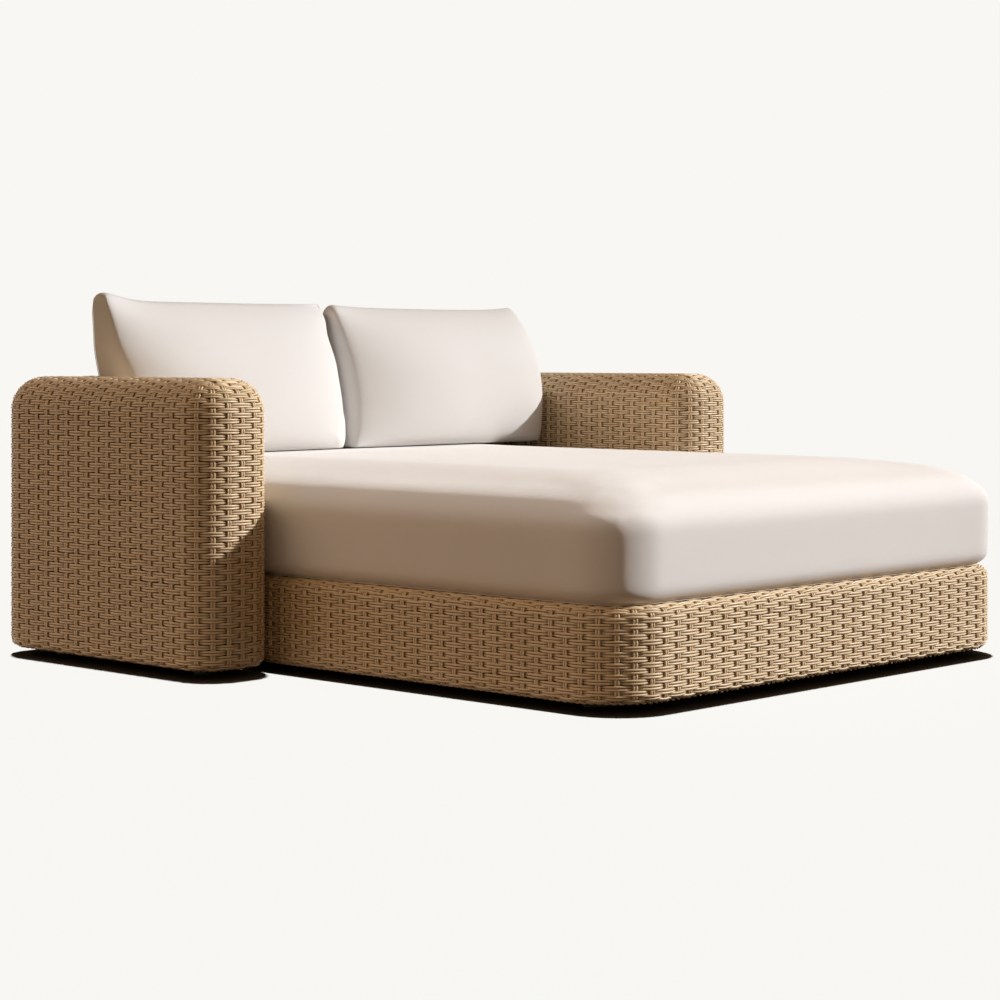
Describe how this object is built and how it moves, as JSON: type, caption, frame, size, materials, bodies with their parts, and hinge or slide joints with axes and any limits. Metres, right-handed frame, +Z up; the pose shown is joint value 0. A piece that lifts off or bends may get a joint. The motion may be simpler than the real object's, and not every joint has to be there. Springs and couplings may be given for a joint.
{
  "type": "rattan daybed",
  "caption": "Low woven rattan daybed: rounded platform with chunky arms and a woven back, a deep mattress that lifts out and two loose back cushions.",
  "frame": {"origin": "on the floor below the middle of the daybed's overall width and depth", "axes": "+X to the right along the width, +Y to the rear, +Z up; the open front faces -Y"},
  "size_m": [1.92, 1.8, 0.8656],
  "materials": {
    "weave": "honey coloured round resin strands, satin, woven in pairs",
    "frame": "brown powder coat, matte",
    "slat": "brown powder coat, matte",
    "fastener": "plain stainless steel",
    "glide": "black moulded nylon, matte",
    "cover": "warm off-white woven outdoor fabric",
    "filling": "open-cell foam and fibre",
    "zip": "moulded coil zip in the cover's colour"
  },
  "bodies": {
    "root": {"back_crown_posts": "frame", "back_posts": "frame", "back_rails": "frame", "back_ties": "frame", "back_weave": "weave", "base_front_bows": "frame", "base_posts": "frame", "base_rear_rails": "frame", "base_side_rails": "frame", "base_weave": "weave", "centre_posts": "frame", "connector_bolts": "fastener", "connector_nuts": "fastener", "connector_washers": "fastener", "deck_bearers": "frame", "deck_slats": "slat", "foot_glides": "glide", "glide_nuts": "fastener", "left_arm_bows": "frame", "left_arm_crown_posts": "frame", "left_arm_posts": "frame", "left_arm_rails": "frame", "left_arm_ties": "frame", "left_arm_weave": "weave", "lower_cross_rails": "frame", "right_arm_bows": "frame", "right_arm_crown_posts": "frame", "right_arm_posts": "frame", "right_arm_rails": "frame", "right_arm_ties": "frame", "right_arm_weave": "weave", "slat_rivets": "fastener"},
    "mattress": {"mattress_core": "filling", "mattress_cover": "cover", "mattress_zip": "zip"},
    "left_back_cushion": {"left_cushion_cover": "cover", "left_cushion_filling": "filling", "left_cushion_zip": "zip"},
    "right_back_cushion": {"right_cushion_cover": "cover", "right_cushion_filling": "filling", "right_cushion_zip": "zip"}
  },
  "joints": [
    {"name": "mattress_lift", "type": "slide", "parent": "root", "child": "mattress", "axis": [0, 0, 1], "range_m": [0, 0.47]},
    {"name": "left_cushion_lift", "type": "slide", "parent": "mattress", "child": "left_back_cushion", "axis": [0, 0, 1], "range_m": [0, 0.25]},
    {"name": "right_cushion_lift", "type": "slide", "parent": "mattress", "child": "right_back_cushion", "axis": [0, 0, 1], "range_m": [0, 0.25]}
  ]
}
